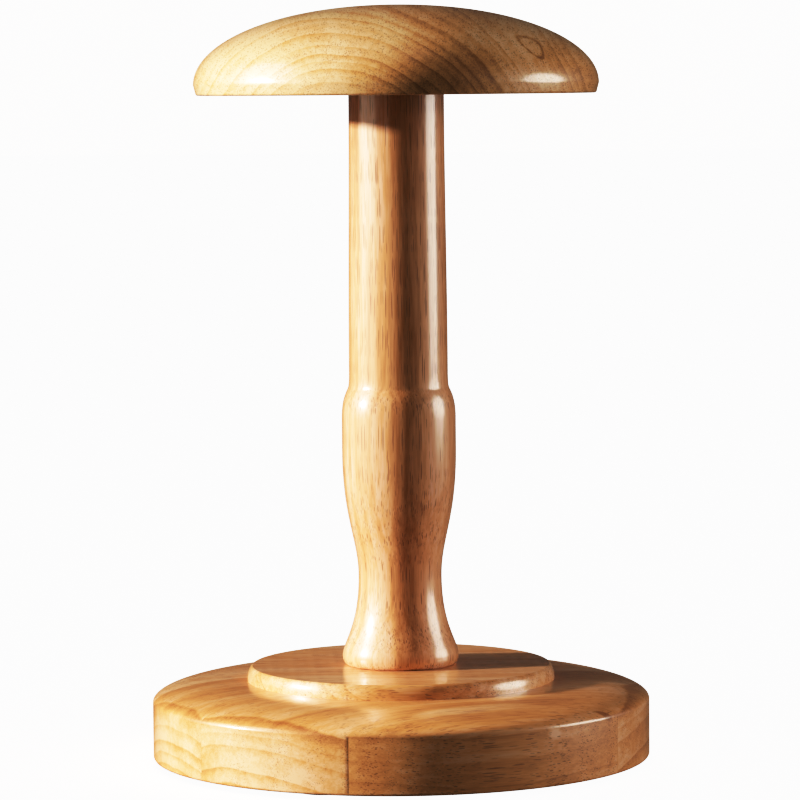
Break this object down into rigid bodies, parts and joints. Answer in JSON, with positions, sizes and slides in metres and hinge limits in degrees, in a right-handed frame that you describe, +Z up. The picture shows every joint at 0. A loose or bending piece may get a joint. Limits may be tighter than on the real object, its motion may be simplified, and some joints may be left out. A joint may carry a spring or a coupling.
{
  "type": "hat stand",
  "caption": "Lacquered wooden hat stand: a stepped round base, a slim turned post and a low domed mushroom-shaped head that carries a hat by its crown.",
  "frame": {"origin": "middle of the plane the stand rests on, under the post's axis", "axes": "+Z up along the post's axis; -Y is the front; +X is to the right seen from the front"},
  "size_m": [0.22, 0.22, 0.3334],
  "materials": {
    "base_wood": "clear gloss lacquer over honey-coloured hardwood",
    "plinth_wood": "clear gloss lacquer over honey-coloured hardwood",
    "post_wood": "clear gloss lacquer over pinkish-brown hardwood with dark pores",
    "head_wood": "clear gloss lacquer over honey-coloured hardwood with growth rings",
    "insert_brass": "plain turned",
    "zinc_steel": "bright zinc plate",
    "pad_rubber": "matt foam rubber"
  },
  "bodies": {
    "root": {"base_board_1": "base_wood", "base_board_2": "base_wood", "base_board_3": "base_wood", "base_board_4": "base_wood", "base_board_5": "base_wood", "plinth_disc": "plinth_wood", "post": "post_wood", "head": "head_wood", "foot_insert": "insert_brass", "base_bolt": "zinc_steel", "bolt_washer": "zinc_steel", "head_stud": "zinc_steel", "head_insert": "insert_brass", "base_pad_1": "pad_rubber", "base_pad_2": "pad_rubber", "base_pad_3": "pad_rubber", "base_pad_4": "pad_rubber"}
  },
  "joints": []
}
